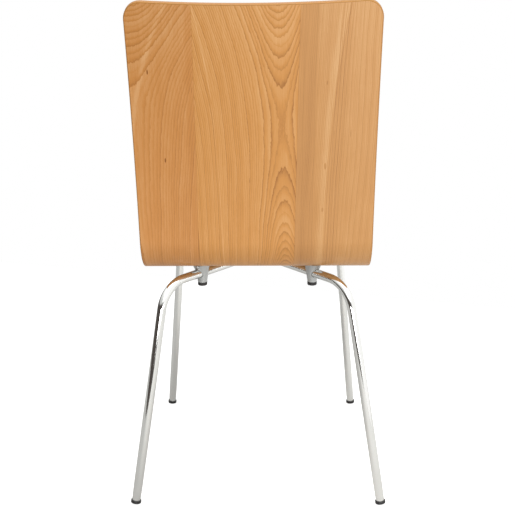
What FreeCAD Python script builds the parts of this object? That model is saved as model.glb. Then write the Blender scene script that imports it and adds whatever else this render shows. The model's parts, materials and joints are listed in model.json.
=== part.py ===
"""Stacking chair: a moulded plywood shell on two bent chrome tubes.

Millimetres and degrees. +Z is up, the chair faces +Y and the sitter's right is +X.
The origin is on the floor, under the centre of the chair's bounding box.

Three kinds of frame are used. The row frame stands on the floor. The seat frame lies in
the plane of the rails, which rises towards the front by seat_tilt: its origin is the
centre weld, Y runs forward and Z is square to the seat. A bracket frame stands on the
rail's axis in a bracket: X runs outward along the rail and Z is square to the seat.
"""

import FreeCAD, Part
import math
import os

import Sketcher
from FreeCAD import Placement, Rotation, Vector

# ---------------------------------------------------------------- driving dimensions
SIZES = [
    ("shell_width", 398, "plywood shell, edge to edge"),
    ("shell_thickness", 10, "plywood shell"),
    ("seat_tilt", 3, "the seat and rails rise towards the front, degrees"),
    ("seat_flat_length", 284, "flat part of the seat, from the back bend to the nose bend"),
    ("nose_radius", 80, "waterfall front edge, upper face"),
    ("nose_angle", 48, "how far the front edge turns down, degrees"),
    ("nose_corner_radius", 55, "front corners of the seat, in plan"),
    ("bend_radius", 67, "seat to back, lower face"),
    ("bend_behind_weld", 132, "centre weld to the centre of the back bend"),
    ("lean_low", 9.7, "back from the vertical, just above the bend, degrees"),
    ("lean_top", 18.8, "back from the vertical, at its top edge, degrees"),
    ("back_length", 402, "from the bend to the top edge, along the rear face"),
    ("back_wrap", 24, "how far the back's side edges come forward at the top"),
    ("back_corner_radius", 29, "top corners of the back"),
    ("rail_height", 410.6, "axis of the rails above the floor, at the centre weld"),
    ("tube_radius", 8, "frame tube, outside"),
    ("tube_wall", 1.5, "frame tube"),
    ("rear_corner_out", 159.3, "where rail and rear leg axes meet, from the centre plane"),
    ("rear_corner_back", 195, "the same point, behind the centre weld"),
    ("front_corner_out", 167.7, "where rail and front leg axes meet, from the centre plane"),
    ("front_corner_fore", 191, "the same point, in front of the centre weld"),
    ("rear_foot_out", 221.5, "rear leg's axis on the floor, from the centre plane"),
    ("rear_foot_back", 236, "the same point, behind the centre weld"),
    ("front_foot_out", 204, "front leg's axis on the floor, from the centre plane"),
    ("front_foot_fore", 200, "the same point, in front of the centre weld"),
    ("leg_bend_radius", 55, "rail to leg, tube axis"),
    ("centre_bend_radius", 60, "rail to rail at the weld, tube axis"),
    ("weld_gap", 0.2, "between the two tubes where they are welded"),
    ("weld_radius", 3.6, "weld bead"),
    ("weld_sink", 2.6, "weld bead's axis below the top of the tubes"),
    ("weld_length", 30, "weld bead"),
    ("seat_gap", 9.2, "top of the rails to the underside of the seat"),
    ("bracket_from_bend", 46, "end of the leg's bend to the bracket, along the rail"),
    ("bracket_head_length", 18, "bracket's top, half its length along the rail"),
    ("bracket_head_width", 13.5, "bracket's top, half its width"),
    ("bracket_flare", 2, "bracket's top, outward shift along the rail"),
    ("waist_wall", 2.5, "bracket's wall beside the tube"),
    ("foot_wall", 2.6, "bracket's wall round its lower bore"),
    ("web_thickness", 1, "bracket's floor between the lower bore and the tube"),
    ("tube_clearance", 0.5, "bracket's bore round the tube, radial"),
    ("recess_clearance", 0.2, "washer and buffer in the bracket's lower bore, radial"),
    ("screw_radius", 2.95, "M6 screw"),
    ("screw_clearance", 0.3, "screw in the tube, bracket and washer, radial"),
    ("screw_end_gap", 1, "screw's end to the bottom of the shell's hole"),
    ("head_overhang", 2.05, "screw's cheese head, outside its shank"),
    ("head_height", 3.3, "screw's cheese head"),
    ("head_clearance", 0.8, "screw's head to the buffer"),
    ("socket_radius", 2.3, "hexagon socket, centre to corner"),
    ("socket_depth", 2, "hexagon socket"),
    ("washer_margin", 0.6, "plain washer, outside the screw's head"),
    ("washer_thickness", 1, "plain washer"),
    ("insert_wall", 1.5, "threaded insert"),
    ("insert_clearance", 0.05, "insert in the shell and round the screw"),
    ("insert_cover", 2, "plywood left above the insert's hole"),
    ("buffer_lip", 0.2, "rubber stacking buffer, outside the bracket's lower end"),
    ("buffer_height", 6.6, "rubber stacking buffer, below the bracket"),
    ("buffer_rounding", 1.6, "rubber stacking buffer's lower rim"),
    ("spigot_length", 2.6, "buffer's plug in the bracket's lower bore"),
    ("glide_lip", 1.25, "glide's head, outside the tube"),
    ("glide_height", 7, "glide's head, along the leg"),
    ("glide_dome_radius", 24, "glide's running face"),
    ("glide_wear", 0.3, "depth of the flat on the running face"),
    ("glide_stem_clearance", 0.05, "glide's stem in the tube, radial"),
    ("glide_stem_length", 15, "glide's stem"),
]
ALIASES = {alias for alias, _, _ in SIZES}

doc = FreeCAD.newDocument("stacking_chair")
sheet = doc.addObject("Spreadsheet::Sheet", "sizes")
for row, (alias, value, note) in enumerate(SIZES, start=1):
    sheet.set(f"A{row}", alias)
    sheet.set(f"B{row}", str(value))
    sheet.set(f"C{row}", note)
    sheet.setAlias(f"B{row}", alias)
doc.recompute()


def size(alias):
    """A driving dimension, read from the sheet."""
    return float(sheet.get(alias))


def total(expression):
    """The value of a sum, such as "screw_radius + screw_clearance" or "- bracket_drop"."""
    amount, sign = 0.0, 1
    for word in expression.split():
        if word in ("+", "-"):
            sign = 1 if word == "+" else -1
        else:
            amount += sign * (size(word) if word in ALIASES else float(word))
    return amount


def on_sheet(expression):
    """The same sum with its aliases spelled as the document's expressions need them."""
    return " ".join("sizes." + w if w in ALIASES else w for w in expression.split())


def below(depth):
    """A depth, which is a sum without minus signs, as a height below the rail's axis."""
    return "- " + depth.replace(" + ", " - ")


# Heights and depths from the rail's axis in the bracket frame, and radii round its screw.
SEAT_UNDERSIDE = "tube_radius + seat_gap"
HOLE_DEPTH = "shell_thickness - insert_cover"
WASHER_DEPTH = "tube_radius + tube_clearance + web_thickness"
HEAD_DEPTH = WASHER_DEPTH + " + washer_thickness"
HEAD_BASE_DEPTH = HEAD_DEPTH + " + head_height"
RECESS_DEPTH = "washer_thickness + head_height + head_clearance + spigot_length"
BRACKET_DEPTH = WASHER_DEPTH + " + " + RECESS_DEPTH
SPIGOT_DEPTH = HEAD_BASE_DEPTH + " + head_clearance"
BUFFER_DEPTH = BRACKET_DEPTH + " + buffer_height"

SCREW_HOLE = "screw_radius + screw_clearance"
HEAD_RADIUS = "screw_radius + head_overhang"
WASHER_RADIUS = HEAD_RADIUS + " + washer_margin"
RECESS_RADIUS = WASHER_RADIUS + " + recess_clearance"
BRACKET_FOOT_RADIUS = RECESS_RADIUS + " + foot_wall"
BUFFER_RADIUS = BRACKET_FOOT_RADIUS + " + buffer_lip"
BRACKET_BORE = "tube_radius + tube_clearance"
BRACKET_WAIST_RADIUS = BRACKET_BORE + " + waist_wall"
INSERT_BORE = "screw_radius + insert_clearance"
INSERT_RADIUS = INSERT_BORE + " + insert_wall"
GLIDE_RADIUS = "tube_radius + glide_lip"

# ---------------------------------------------------------------- derived places
SIDES = {"left": -1, "right": 1}
ENDS = {"front": 1, "rear": -1}
CORNERS = [(end, side) for end in ENDS for side in SIDES]
BACK_SECTIONS = 13
OVERSHOOT = 5.0

half_width = size("shell_width") / 2
thickness = size("shell_thickness")
tilt = math.radians(size("seat_tilt"))
lean_low = math.radians(size("lean_low")) - tilt
lean_top = math.radians(size("lean_top")) - tilt
nose_angle = math.radians(size("nose_angle"))
bend_y = -size("bend_behind_weld")
bend_z = total(SEAT_UNDERSIDE) + size("bend_radius")
nose_y = bend_y + size("seat_flat_length")
nose_z = total(SEAT_UNDERSIDE) + thickness - size("nose_radius")


def around_bend(radius, lean):
    """A point of the bend between seat and back, in the seat frame's YZ plane."""
    return bend_y - radius * math.cos(lean), bend_z - radius * math.sin(lean)


def around_nose(radius, angle):
    """A point of the seat's front edge, in the seat frame's YZ plane."""
    return nose_y + radius * math.sin(angle), nose_z + radius * math.cos(angle)


def rear_face(share):
    """The back's rear face on the centre plane, in the seat frame: y, z and the lean there.

    share runs from 0 at the bend to 1 at the top edge. The lean grows evenly with the
    length, so the line is one long arc that starts in line with the bend.
    """
    arc_radius = size("back_length") / (lean_top - lean_low)
    lean = lean_low + (lean_top - lean_low) * share
    start_y, start_z = around_bend(size("bend_radius"), lean_low)
    y = start_y - arc_radius * (math.cos(lean_low) - math.cos(lean))
    z = start_z + arc_radius * (math.sin(lean) - math.sin(lean_low))
    return y, z, lean


def along_floor(y, z):
    """How far forward of the weld a point of the seat frame's YZ plane lies, over the floor."""
    return y * math.cos(tilt) - z * math.sin(tilt)


top_y, top_z, _ = rear_face(1.0)
rear_reach = along_floor(top_y, top_z)
front_reach = along_floor(*around_nose(size("nose_radius"), nose_angle))
weld_y = -(rear_reach + front_reach) / 2

SEAT = Placement(
    Vector(0, weld_y, size("rail_height")),
    Rotation(Vector(1, 0, 0), size("seat_tilt")),
)


def rail_corner(end, side):
    """Where the axes of a rail and its leg would meet, in the seat frame."""
    back_or_fore = "fore" if end == "front" else "back"
    return Vector(
        SIDES[side] * size(f"{end}_corner_out"),
        ENDS[end] * size(f"{end}_corner_{back_or_fore}"),
        0,
    )


def foot(end, side):
    """Where a leg's axis meets the floor, in the row frame."""
    back_or_fore = "fore" if end == "front" else "back"
    return Vector(
        SIDES[side] * size(f"{end}_foot_out"),
        weld_y + ENDS[end] * size(f"{end}_foot_{back_or_fore}"),
        0,
    )


def centre_corner(side):
    """Where the axes of one tube's two rails would meet, in the seat frame.

    The bend's arc stays half the weld gap and one tube radius from the centre plane, and
    the corner lies beyond it by an amount that depends on the angle between the rails, so
    the sum is repeated until it settles.
    """
    nearest = size("tube_radius") + size("weld_gap") / 2
    corner = Vector(0, 0, 0)
    for _ in range(40):
        to_front = rail_corner("front", side) - corner
        to_rear = rail_corner("rear", side) - corner
        half_turn = (math.pi - to_front.getAngle(to_rear)) / 2
        beyond = size("centre_bend_radius") * (1 / math.cos(half_turn) - 1)
        corner = Vector(SIDES[side] * (nearest - beyond), 0, 0)
    return corner


def centre_bend_middle(side):
    """The centre of the bend between one tube's two rails, in the seat frame.

    It lies on the line that halves the angle between them.
    """
    corner = centre_corner(side)
    to_front = (rail_corner("front", side) - corner).normalize()
    to_rear = (rail_corner("rear", side) - corner).normalize()
    halving = (to_front + to_rear).normalize()
    reach = size("centre_bend_radius") / math.sin(halving.getAngle(to_front))
    return corner + halving * reach


def bend_tangent(before, corner, after, radius):
    """How far a tangent arc's ends are from the corner that it rounds."""
    return radius / math.tan((before - corner).getAngle(after - corner) / 2)


def bracket_in_seat(end, side):
    """The bracket frame's place in the seat frame, just inside the end of the leg's bend."""
    corner, centre = rail_corner(end, side), centre_corner(side)
    outward = corner - centre
    outward.normalize()
    turn = math.degrees(math.atan2(outward.y, outward.x))
    foot_in_seat = SEAT.inverse().multVec(foot(end, side))
    tangent = bend_tangent(centre, corner, foot_in_seat, size("leg_bend_radius"))
    place = corner - outward * (tangent + size("bracket_from_bend"))
    return Placement(place, Rotation(Vector(0, 0, 1), turn))


def bracket_frame(end, side):
    """The bracket frame's place in the row frame."""
    return SEAT.multiply(bracket_in_seat(end, side))


def leg_frame(end, side):
    """A leg's own frame: its origin on the floor, Z up along the leg."""
    low = foot(end, side)
    along = SEAT.multVec(rail_corner(end, side)) - low
    return Placement(low, Rotation(Vector(0, 0, 1), along))


# ---------------------------------------------------------------- drawing helpers
def named(obj, label, placement=None):
    """Gives a finished sub-part its label, which names its file, and its place."""
    obj.Label = label
    if placement is not None:
        obj.Placement = placement
    return obj


def drum(name, radius, height, base="0"):
    """A Part cylinder about Z from base upward, all three bound to the sheet."""
    obj = doc.addObject("Part::Cylinder", name)
    obj.setExpression("Radius", on_sheet(radius))
    obj.setExpression("Height", on_sheet(height))
    obj.setExpression(".Placement.Base.z", on_sheet(base))
    return obj


def cut(name, base, *tools):
    """Base with every tool cut out of it."""
    tool = tools[0] if len(tools) == 1 else joined(name + "_tools", *tools)
    obj = doc.addObject("Part::Cut", name)
    obj.Base, obj.Tool = base, tool
    return obj


def joined(name, *shapes):
    """Several objects fused into one."""
    obj = doc.addObject("Part::MultiFuse", name)
    obj.Shapes = list(shapes)
    return obj


def lathe_body(name, *outline):
    """A PartDesign body turned about Z from (radius, height) corners.

    Each corner is a pair of sums on the sheet. The sketch is drawn at their values and
    its constraints are bound to them, so the piece follows the sheet.
    """
    body = doc.addObject("PartDesign::Body", name)
    plane = next(f for f in body.Origin.OriginFeatures if f.Role == "XZ_Plane")
    sketch = body.newObject("Sketcher::SketchObject", name + "_outline")
    sketch.AttachmentSupport = [(plane, "")]
    sketch.MapMode = "FlatFace"
    corners = [Vector(total(r), total(z), 0) for r, z in outline]
    count = len(corners)
    for i in range(count):
        sketch.addGeometry(Part.LineSegment(corners[i], corners[(i + 1) % count]))
    for i in range(count):
        sketch.addConstraint(Sketcher.Constraint("Coincident", i, 2, (i + 1) % count, 1))
    for i, (radius, height) in enumerate(outline):
        for kind, axis, distance in (("DistanceX", -2, radius), ("DistanceY", -1, height)):
            if distance == "0":
                sketch.addConstraint(Sketcher.Constraint("PointOnObject", i, 1, axis))
                continue
            index = sketch.addConstraint(
                Sketcher.Constraint(kind, -1, 1, i, 1, total(distance))
            )
            sketch.setExpression(f"Constraints[{index}]", on_sheet(distance))
    turned = body.newObject("PartDesign::Revolution", name + "_turned")
    turned.Profile = sketch
    turned.ReferenceAxis = (sketch, ["V_Axis"])
    turned.Angle = 360
    body.Tip = turned
    return body


# ---------------------------------------------------------------- plywood shell
def yz(y, z):
    return Vector(0, y, z)


def seat_sheet():
    """The seat, its turned-down front edge and the bend up to the back, as one extrusion.

    Both faces are followed in one closed outline in the centre plane: arcs round the nose,
    straight along the seat, and arcs round the bend.
    """
    nose_out, nose_in = size("nose_radius"), size("nose_radius") - thickness
    bend_out, bend_in = size("bend_radius"), size("bend_radius") - thickness
    middle_of_bend = (lean_low + math.pi / 2) / 2
    upper_nose = Part.Arc(
        yz(*around_nose(nose_out, nose_angle)),
        yz(*around_nose(nose_out, nose_angle / 2)),
        yz(*around_nose(nose_out, 0)),
    )
    upper_bend = Part.Arc(
        yz(*around_bend(bend_in, math.pi / 2)),
        yz(*around_bend(bend_in, middle_of_bend)),
        yz(*around_bend(bend_in, lean_low)),
    )
    lower_bend = Part.Arc(
        yz(*around_bend(bend_out, lean_low)),
        yz(*around_bend(bend_out, middle_of_bend)),
        yz(*around_bend(bend_out, math.pi / 2)),
    )
    lower_nose = Part.Arc(
        yz(*around_nose(nose_in, 0)),
        yz(*around_nose(nose_in, nose_angle / 2)),
        yz(*around_nose(nose_in, nose_angle)),
    )
    arcs = [upper_nose, upper_bend, lower_bend, lower_nose]
    edges = []
    for i, arc in enumerate(arcs):
        edges.append(arc.toShape())
        following = arcs[(i + 1) % len(arcs)]
        edges.append(Part.LineSegment(arc.EndPoint, following.StartPoint).toShape())
    outline = Part.Face(Part.Wire(edges))
    outline.translate(Vector(-half_width, 0, 0))
    return outline.extrude(Vector(2 * half_width, 0, 0))


def back_section(share):
    """The back's cross-section at one height: two parabolas, thickness apart.

    The side edges stand forward of the middle by back_wrap at the top and not at all at
    the bend. A Bezier curve with its middle pole as far behind the centre line as its ends
    are in front of it is that parabola.
    """
    y, z, lean = rear_face(share)
    forward = Vector(0, math.cos(lean), math.sin(lean))
    wrap = size("back_wrap") * share
    middle = yz(y, z)
    rear = [
        middle + Vector(-half_width, 0, 0) + forward * wrap,
        middle - forward * wrap,
        middle + Vector(half_width, 0, 0) + forward * wrap,
    ]
    front = [pole + forward * thickness for pole in reversed(rear)]
    edges = []
    for poles in (rear, front):
        curve = Part.BezierCurve()
        curve.setPoles(poles)
        edges.append(curve.toShape())
    rear_edge, front_edge = edges
    ends = [
        Part.LineSegment(rear[-1], front[0]).toShape(),
        Part.LineSegment(front[-1], rear[0]).toShape(),
    ]
    return Part.Wire([rear_edge, ends[0], front_edge, ends[1]])


def back_sheet():
    """The back as a loft up through evenly spaced cross-sections."""
    shares = [i / (BACK_SECTIONS - 1) for i in range(BACK_SECTIONS)]
    return Part.makeLoft([back_section(share) for share in shares], True, False)


def corner_waste(side, tip, inward, through, radius):
    """The offcut that rounds one corner of the sheet.

    tip is a point of the sheet's end on the centre plane, inward runs from it along the
    sheet and through goes across the sheet's thickness.
    """
    across = Vector(side, 0, 0)

    def at(out, along):
        return tip + across * (half_width + out) + inward * along

    diagonal = radius * (1 - math.sqrt(0.5))
    arc = Part.Arc(at(-radius, 0), at(-diagonal, diagonal), at(0, radius))
    corners = [
        at(0, radius),
        at(OVERSHOOT, radius),
        at(OVERSHOOT, -OVERSHOOT),
        at(-radius, -OVERSHOOT),
        at(-radius, 0),
    ]
    edges = [arc.toShape()]
    for start, end in zip(corners, corners[1:]):
        edges.append(Part.LineSegment(start, end).toShape())
    face = Part.Face(Part.Wire(edges))
    face.translate(-through)
    return face.extrude(through * 2)


def shell_blank():
    """The sheet with its four corners rounded, before it is drilled."""
    blank = seat_sheet().fuse(back_sheet()).removeSplitter()
    y, z, lean = rear_face(1.0)
    down_back = Vector(0, math.sin(lean), -math.cos(lean))
    through_back = Vector(0, math.cos(lean), math.sin(lean))
    reach = size("back_wrap") + thickness + OVERSHOOT
    nose = yz(*around_nose(size("nose_radius"), nose_angle))
    drop = size("nose_radius") + OVERSHOOT
    for side in SIDES.values():
        top = corner_waste(
            side, yz(y, z), down_back, through_back * reach, size("back_corner_radius")
        )
        front = corner_waste(
            side, nose, Vector(0, -1, 0), Vector(0, 0, drop), size("nose_corner_radius")
        )
        blank = blank.cut(top).cut(front)
    return blank


blank = doc.addObject("Part::Feature", "shell_blank")
blank.Shape = shell_blank()
pilot_holes = []
for end, side in CORNERS:
    hole = drum(
        f"{end}_{side}_insert_hole",
        INSERT_RADIUS + " + insert_clearance",
        HOLE_DEPTH,
    )
    place = bracket_in_seat(end, side).Base
    hole.Placement = Placement(place, Rotation())
    hole.setExpression(".Placement.Base.z", on_sheet(SEAT_UNDERSIDE))
    pilot_holes.append(hole)
named(cut("shell_drilled", blank, *pilot_holes), "seat_shell", SEAT)


# ---------------------------------------------------------------- chrome frame
def rounded_path(points, radii):
    """Straight runs between points, with a tangent arc of the given radius at each corner."""
    edges, start = [], points[0]
    for before, corner, after, radius in zip(points, points[1:], points[2:], radii):
        back = before - corner
        ahead = after - corner
        half_turn = (math.pi - back.getAngle(ahead)) / 2
        tangent = bend_tangent(before, corner, after, radius)
        back.normalize()
        ahead.normalize()
        inward = back + ahead
        inward.normalize()
        middle = corner + inward * (radius / math.cos(half_turn) - radius)
        arc_start, arc_end = corner + back * tangent, corner + ahead * tangent
        edges.append(Part.LineSegment(start, arc_start).toShape())
        edges.append(Part.Arc(arc_start, middle, arc_end).toShape())
        start = arc_end
    edges.append(Part.LineSegment(start, points[-1]).toShape())
    return Part.Wire(edges)


def swept(name, spine, radius, at_start):
    """A round bar along a spine, its section's radius bound to the sheet."""
    ring = doc.addObject("Part::Circle", name + "_section")
    ring.setExpression("Radius", on_sheet(radius))
    ring.Placement = at_start
    bar = doc.addObject("Part::Sweep", name)
    bar.Sections = [ring]
    bar.Spine = (spine, [])
    bar.Solid = True
    bar.Frenet = False
    return bar


for side in SIDES:
    legs = {end: leg_frame(end, side) for end in ENDS}
    cut_end = Vector(0, 0, size("glide_height"))
    path = [
        legs["rear"].multVec(cut_end),
        SEAT.multVec(rail_corner("rear", side)),
        SEAT.multVec(centre_corner(side)),
        SEAT.multVec(rail_corner("front", side)),
        legs["front"].multVec(cut_end),
    ]
    radii = [size(f"{place}_bend_radius") for place in ("leg", "centre", "leg")]
    spine = doc.addObject("Part::Feature", side + "_tube_axis")
    spine.Shape = rounded_path(path, radii)
    at_start = legs["rear"].multiply(Placement(cut_end, Rotation()))
    outside = swept(side + "_tube_outside", spine, "tube_radius", at_start)
    inside = swept(side + "_tube_inside", spine, "tube_radius - tube_wall", at_start)
    drills = []
    for end in ENDS:
        drill = doc.addObject("Part::Cylinder", f"{end}_{side}_tube_drill")
        drill.setExpression("Radius", on_sheet(SCREW_HOLE))
        drill.setExpression("Height", "4 * sizes.tube_radius")
        below_tube = Placement(Vector(0, 0, -2 * size("tube_radius")), Rotation())
        drill.Placement = bracket_frame(end, side).multiply(below_tube)
        drills.append(drill)
    named(cut(side + "_tube_drilled", outside, inside, *drills), side + "_frame_tube")

# The two tubes are welded in the grooves above and below where their bends touch.
bends = []
for side in SIDES:
    bend = doc.addObject("Part::Torus", side + "_centre_bend")
    bend.setExpression("Radius1", on_sheet("centre_bend_radius"))
    bend.setExpression("Radius2", on_sheet("tube_radius"))
    bend.Placement = SEAT.multiply(Placement(centre_bend_middle(side), Rotation()))
    bends.append(bend)
beads = []
for name, sign in (("upper", 1), ("lower", -1)):
    bead = doc.addObject("Part::Cylinder", name + "_bead")
    bead.setExpression("Radius", on_sheet("weld_radius"))
    bead.setExpression("Height", on_sheet("weld_length"))
    level = size("tube_radius") - size("weld_sink")
    low_end = Vector(0, size("weld_length") / 2, sign * level)
    bead.Placement = SEAT.multiply(Placement(low_end, Rotation(Vector(1, 0, 0), 90)))
    beads.append(bead)
named(cut("weld_beads", joined("bead_rods", *beads), *bends), "centre_weld")


# ---------------------------------------------------------------- brackets and fixings
def bracket(name):
    """A die-cast bracket in its own frame: lofted body, tube bore, screw hole, lower bore."""
    levels = [
        # height, half length along the rail, half width across it, outward shift
        (below(BRACKET_DEPTH), BRACKET_FOOT_RADIUS, BRACKET_FOOT_RADIUS, "0"),
        ("0", BRACKET_WAIST_RADIUS, BRACKET_WAIST_RADIUS, "0"),
        (SEAT_UNDERSIDE, "bracket_head_length", "bracket_head_width", "bracket_flare"),
    ]
    sections = []
    for i, (height, length, width, shift) in enumerate(levels):
        ring = doc.addObject("Part::Ellipse", f"{name}_section_{i}")
        ring.setExpression("MajorRadius", on_sheet(length))
        ring.setExpression("MinorRadius", on_sheet(width))
        ring.setExpression(".Placement.Base.x", on_sheet(shift))
        ring.setExpression(".Placement.Base.z", on_sheet(height))
        sections.append(ring)
    body = doc.addObject("Part::Loft", name + "_body")
    body.Sections = sections
    body.Solid = True
    tube_bore = doc.addObject("Part::Cylinder", name + "_tube_bore")
    tube_bore.setExpression("Radius", on_sheet(BRACKET_BORE))
    tube_bore.setExpression("Height", "4 * sizes.bracket_head_length")
    tube_bore.Placement = Placement(Vector(), Rotation(Vector(0, 1, 0), 90))
    tube_bore.setExpression(".Placement.Base.x", "-2 * sizes.bracket_head_length")
    whole_height = BRACKET_DEPTH + " + " + SEAT_UNDERSIDE
    screw_hole = drum(name + "_screw_hole", SCREW_HOLE, whole_height, below(BRACKET_DEPTH))
    recess = drum(name + "_recess", RECESS_RADIUS, RECESS_DEPTH, below(BRACKET_DEPTH))
    return cut(name, body, tube_bore, screw_hole, recess)


def screw(name):
    """An M6 screw, head down, with a hexagon socket in the head."""
    head_base, head_top = below(HEAD_BASE_DEPTH), below(HEAD_DEPTH)
    tip = f"{SEAT_UNDERSIDE} + {HOLE_DEPTH} - screw_end_gap"
    body = lathe_body(
        name,
        ("0", head_base),
        (HEAD_RADIUS, head_base),
        (HEAD_RADIUS, head_top),
        ("screw_radius", head_top),
        ("screw_radius", tip),
        ("0", tip),
    )
    socket = body.newObject("PartDesign::SubtractivePrism", name + "_socket")
    socket.Polygon = 6
    socket.setExpression("Circumradius", on_sheet("socket_radius"))
    socket.setExpression("Height", on_sheet("socket_depth"))
    socket.setExpression(".Placement.Base.z", on_sheet(head_base))
    body.Tip = socket
    return body


def ring(name, bore, radius, low, high):
    """A plain sleeve or washer."""
    return lathe_body(name, (bore, low), (radius, low), (radius, high), (bore, high))


def washer(name):
    """A plain washer under the screw's head."""
    low, high = below(HEAD_DEPTH), below(WASHER_DEPTH)
    return ring(name, SCREW_HOLE, WASHER_RADIUS, low, high)


def threaded_insert(name):
    """A sleeve pressed into the shell from below, flush with the seat's underside."""
    top = f"{SEAT_UNDERSIDE} + {HOLE_DEPTH} - insert_clearance"
    return ring(name, INSERT_BORE, INSERT_RADIUS, SEAT_UNDERSIDE, top)


def buffer(name):
    """A rubber foot plugged into the bracket's lower end, with a rounded lower rim."""
    base, shoulder, top = below(BUFFER_DEPTH), below(BRACKET_DEPTH), below(SPIGOT_DEPTH)
    spigot_radius = RECESS_RADIUS + " - recess_clearance"
    body = lathe_body(
        name,
        ("0", base),
        (BUFFER_RADIUS, base),
        (BUFFER_RADIUS, shoulder),
        (spigot_radius, shoulder),
        (spigot_radius, top),
        ("0", top),
    )
    doc.recompute()
    turned = body.Tip
    rim = next(
        f"Edge{i}"
        for i, edge in enumerate(turned.Shape.Edges, start=1)
        if edge.BoundBox.ZLength < 1e-6
        and abs(edge.BoundBox.ZMin - total(base)) < 1e-6
        and edge.BoundBox.XLength > total(BUFFER_RADIUS)
    )
    rounding = body.newObject("PartDesign::Fillet", name + "_rounding")
    rounding.Base = (turned, [rim])
    rounding.setExpression("Radius", on_sheet("buffer_rounding"))
    body.Tip = rounding
    return body


for end, side in CORNERS:
    corner = f"{end}_{side}"
    place = bracket_frame(end, side)
    named(bracket(f"{corner}_casting"), f"{corner}_bracket", place)
    named(screw(f"{corner}_m6"), f"{corner}_screw", place)
    named(washer(f"{corner}_ring"), f"{corner}_washer", place)
    named(threaded_insert(f"{corner}_sleeve"), f"{corner}_insert", place)
    named(buffer(f"{corner}_rubber"), f"{corner}_buffer", place)


# ---------------------------------------------------------------- glides
def glide(name, end, side):
    """A plastic glide: a domed head under the tube's end and a stem inside it.

    The dome's centre lies on the leg's axis, low enough for the floor to cut a small flat
    on the dome, so all four flats are level although the legs are splayed.
    """
    leg = leg_frame(end, side)
    upright = leg.Rotation.multVec(Vector(0, 0, 1)).z
    head = drum(name + "_head", GLIDE_RADIUS, "glide_height + glide_wear", "- glide_wear")
    dome = doc.addObject("Part::Sphere", name + "_dome")
    dome.setExpression("Radius", on_sheet("glide_dome_radius"))
    dome.Placement.Base.z = (size("glide_dome_radius") - size("glide_wear")) / upright
    domed_head = doc.addObject("Part::Common", name + "_domed_head")
    domed_head.Base, domed_head.Tool = head, dome
    stem = drum(
        name + "_stem",
        "tube_radius - tube_wall - glide_stem_clearance",
        "glide_stem_length",
        "glide_height",
    )
    whole = joined(name + "_whole", domed_head, stem)
    whole.Placement = leg
    floor = doc.addObject("Part::Box", name + "_floor")
    for side_length in ("Length", "Width", "Height"):
        floor.setExpression(side_length, "8 * sizes.tube_radius")
    reach = 4 * size("tube_radius")
    floor.Placement.Base = foot(end, side) - Vector(reach, reach, 2 * reach)
    return cut(name, whole, floor)


for end, side in CORNERS:
    named(glide(f"{end}_{side}_foot", end, side), f"{end}_{side}_glide")


# ---------------------------------------------------------------- checks and files
doc.recompute()
NODES = ["seat_shell", "left_frame_tube", "right_frame_tube", "centre_weld"]
for piece in ("bracket", "screw", "washer", "insert", "buffer", "glide"):
    NODES += [f"{end}_{side}_{piece}" for end, side in CORNERS]

failed = [o.Name for o in doc.Objects if {"Invalid", "Error"} & set(o.State)]
if failed:
    raise RuntimeError("these objects did not recompute: " + ", ".join(failed))

parts = {}
for node in NODES:
    shape = doc.getObjectsByLabel(node)[0].Shape
    if shape.isNull() or not shape.isValid() or not shape.Solids:
        raise RuntimeError(node + " is not a valid solid")
    parts[node] = shape

drilled = doc.getObjectsByLabel("front_left_screw")[0]
socket_volume = drilled.Group[1].Shape.Volume - drilled.Shape.Volume
if socket_volume <= 0:
    raise RuntimeError("the screw's socket cuts nothing")

os.makedirs("parts", exist_ok=True)
for node, shape in parts.items():
    shape.exportStep(f"parts/{node}.step")

whole = Part.makeCompound(list(parts.values())).optimalBoundingBox(False)
print(f"{len(parts)} nodes, {whole.XLength:.1f} x {whole.YLength:.1f} x {whole.ZLength:.1f} mm")
print(f"x {whole.XMin:.2f} {whole.XMax:.2f} y {whole.YMin:.2f} {whole.YMax:.2f} z {whole.ZMin:.2f}")
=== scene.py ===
"""The looks of a stacking chair: a lacquered plywood shell on a bent chrome frame.

Metres. +Z is up, the chair faces +Y and the sitter's right is +X.
"""

import json
import math

import bmesh
import bpy
import numpy as np
from mathutils import Matrix, Vector


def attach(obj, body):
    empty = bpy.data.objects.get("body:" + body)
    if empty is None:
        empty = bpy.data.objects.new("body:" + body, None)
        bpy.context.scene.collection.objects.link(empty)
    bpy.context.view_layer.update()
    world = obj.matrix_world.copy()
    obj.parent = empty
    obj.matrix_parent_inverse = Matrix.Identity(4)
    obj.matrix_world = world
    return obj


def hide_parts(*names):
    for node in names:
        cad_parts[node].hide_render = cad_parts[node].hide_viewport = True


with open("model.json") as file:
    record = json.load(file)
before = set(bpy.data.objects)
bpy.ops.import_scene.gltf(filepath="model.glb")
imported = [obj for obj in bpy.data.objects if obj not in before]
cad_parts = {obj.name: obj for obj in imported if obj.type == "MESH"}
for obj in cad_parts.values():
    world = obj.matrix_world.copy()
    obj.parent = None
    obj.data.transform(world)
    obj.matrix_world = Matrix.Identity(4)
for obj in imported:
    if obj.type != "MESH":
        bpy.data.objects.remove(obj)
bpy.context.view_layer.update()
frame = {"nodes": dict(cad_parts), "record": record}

# ============================================================ plywood shell
# The seat and back are one sheet of moulded plywood: thin veneers glued and pressed over a
# former, trimmed, rounded along the edge and lacquered. Each face shows three leaves of
# veneer laid side by side, and four brass inserts let into its underside take the screws.
SHELL_WIDTH = 0.398
SHELL_THICKNESS = 0.010
SEAT_GAP = 0.0092
TUBE_RADIUS = 0.008
SEAT_FLAT = 0.284
NOSE_RADIUS = 0.080
NOSE_TURN = math.radians(48)
NOSE_CORNER = 0.055
BEND_RADIUS = 0.067
BEND_BEHIND_WELD = 0.132
LEAN_LOW = math.radians(9.7)
LEAN_TOP = math.radians(18.8)
BACK_LENGTH = 0.402
BACK_WRAP = 0.024
BACK_CORNER = 0.029
ARRIS = 0.0017
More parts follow.
